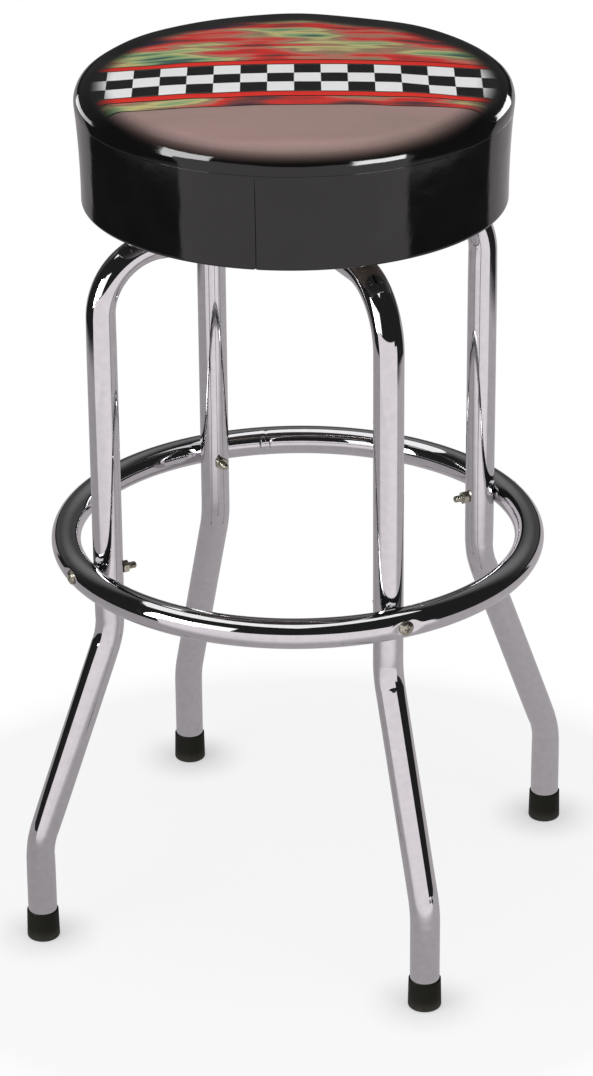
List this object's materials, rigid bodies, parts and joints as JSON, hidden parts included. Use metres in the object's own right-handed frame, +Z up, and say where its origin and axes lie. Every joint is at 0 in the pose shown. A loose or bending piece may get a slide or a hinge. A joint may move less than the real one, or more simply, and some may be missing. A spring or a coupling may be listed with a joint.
{
  "type": "swivel shop stool",
  "caption": "Backless bar-height stool: round padded vinyl seat that swivels on crossed chrome tube legs with a bolted foot ring and rubber tips.",
  "frame": {"origin": "on the floor, on the axis that the seat turns about", "axes": "+Z up along the seat's axis; the legs stand on the diagonals of X and Y, and -Y is the front"},
  "size_m": [0.4273, 0.4272, 0.762],
  "materials": {
    "chrome": "mirror chrome plating",
    "zinc_fastener": "pale yellow zinc plating",
    "plain_steel": "plain steel",
    "swivel_paint": "black paint on pressed steel",
    "bearing_nylon": "natural nylon",
    "tip_rubber": "moulded rubber, semi-matte",
    "plywood": "plywood stained almost black",
    "foam": "open-cell foam",
    "printed_vinyl": "glossy vinyl with a printed pattern",
    "black_vinyl": "glossy black vinyl"
  },
  "bodies": {
    "frame": {"leg_frame_lower": "chrome", "leg_frame_upper": "chrome", "foot_ring": "chrome", "ring_screws": "zinc_fastener", "ring_nuts": "zinc_fastener", "foot_tip_front_left": "tip_rubber", "foot_tip_front_right": "tip_rubber", "foot_tip_back_left": "tip_rubber", "foot_tip_back_right": "tip_rubber", "foot_tip_discs": "plain_steel", "swivel_lower_plate": "swivel_paint", "frame_bolts": "zinc_fastener", "frame_washers": "zinc_fastener", "frame_nuts": "zinc_fastener", "swivel_rivet": "plain_steel", "thrust_washer": "bearing_nylon"},
    "ball_carrier": {"swivel_balls": "plain_steel", "ball_cage": "bearing_nylon"},
    "seat": {"swivel_upper_plate": "swivel_paint", "seat_screws": "zinc_fastener", "seat_tee_nuts": "zinc_fastener", "seat_board": "plywood", "seat_foam": "foam", "seat_top_cover": "printed_vinyl", "seat_side_band": "black_vinyl", "cover_staples": "zinc_fastener"}
  },
  "joints": [
    {"name": "seat_swivel", "type": "hinge", "parent": "frame", "child": "seat", "pos_m": [0, 0, 0.646], "axis": [0, 0, 1], "continuous": true},
    {"name": "ball_carrier_turn", "type": "hinge", "parent": "frame", "child": "ball_carrier", "pos_m": [0, 0, 0.646], "axis": [0, 0, 1], "continuous": true}
  ],
  "couplings": [
    {"joint": "ball_carrier_turn", "follows": "seat_swivel", "ratio": 0.5}
  ]
}
